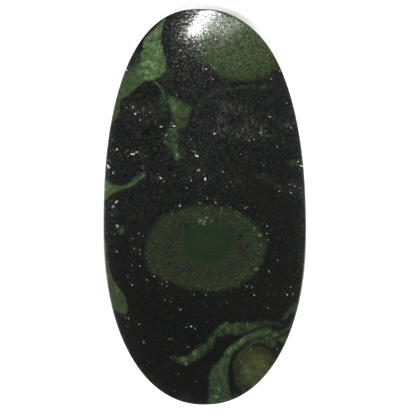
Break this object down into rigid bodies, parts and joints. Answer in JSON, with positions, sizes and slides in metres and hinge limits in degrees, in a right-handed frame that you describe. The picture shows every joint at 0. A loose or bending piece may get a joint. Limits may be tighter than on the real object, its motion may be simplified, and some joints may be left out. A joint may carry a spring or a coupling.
{
  "type": "star galaxy jasper cabochon",
  "caption": "Polished long oval cabochon of near-black orbicular jasper with green swirls, ringed orbs and pale star-like specks, on a flat back.",
  "frame": {"origin": "centre of the flat back, on the surface that the stone rests on", "axes": "+Y along the stone's length towards its narrower end, +X across its width, +Z out of the polished dome"},
  "size_m": [0.0218, 0.043, 0.0055],
  "materials": {
    "polished_jasper": "polished"
  },
  "bodies": {
    "root": {"jasper_cabochon": "polished_jasper"}
  },
  "joints": []
}
